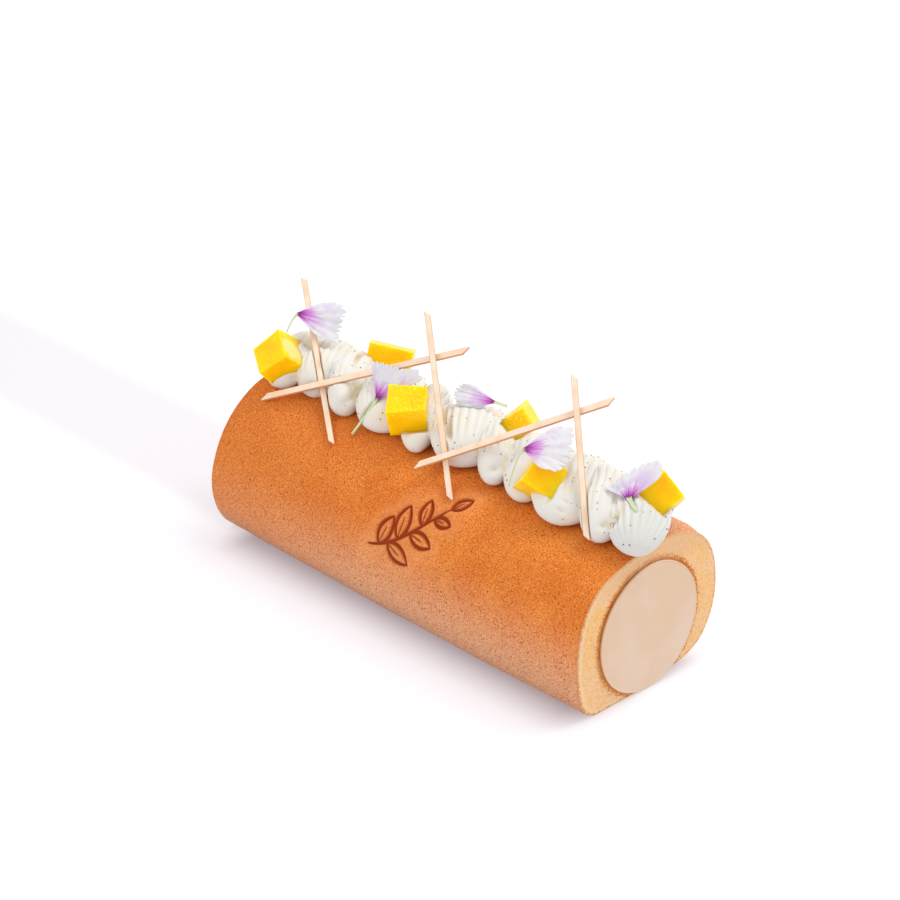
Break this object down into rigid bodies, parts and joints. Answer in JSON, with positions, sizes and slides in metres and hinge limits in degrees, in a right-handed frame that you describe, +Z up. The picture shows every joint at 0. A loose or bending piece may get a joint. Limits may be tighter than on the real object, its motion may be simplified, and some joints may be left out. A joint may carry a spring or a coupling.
{
  "type": "mango roll cake",
  "caption": "Rolled sponge cake lying on its side with a piped cream ridge, mango dice, thin crossed chocolate sticks and fringed petals on top, and a round plaque on each cut end.",
  "frame": {"origin": "middle of the flat underside of the roll (mount base)", "axes": "+X along the roll towards the cut end that faces the picture's camera, +Y to the right seen from that end, +Z up"},
  "size_m": [0.2171, 0.0777, 0.1028],
  "materials": {
    "sponge": "browned sponge crust, matt, fine speckle; yellow crumb on the cut ends",
    "plaque": "pale caramel chocolate, satin",
    "cream": "whipped cream with vanilla specks, satin",
    "mango": "ripe mango flesh, moist",
    "chocolate": "thin tinted white chocolate, satin",
    "petal": "soft white and lilac petal with a purple throat"
  },
  "bodies": {
    "root": {"sponge_roll": "sponge", "plaque_near": "plaque", "plaque_far": "plaque", "cream": "cream", "mango_1": "mango", "mango_2": "mango", "mango_3": "mango", "mango_4": "mango", "mango_5": "mango", "mango_6": "mango", "stick_1": "chocolate", "stick_2": "chocolate", "stick_3": "chocolate", "stick_4": "chocolate", "stick_5": "chocolate", "petal_1": "petal", "petal_2": "petal", "petal_3": "petal", "petal_4": "petal", "petal_5": "petal"}
  },
  "joints": []
}
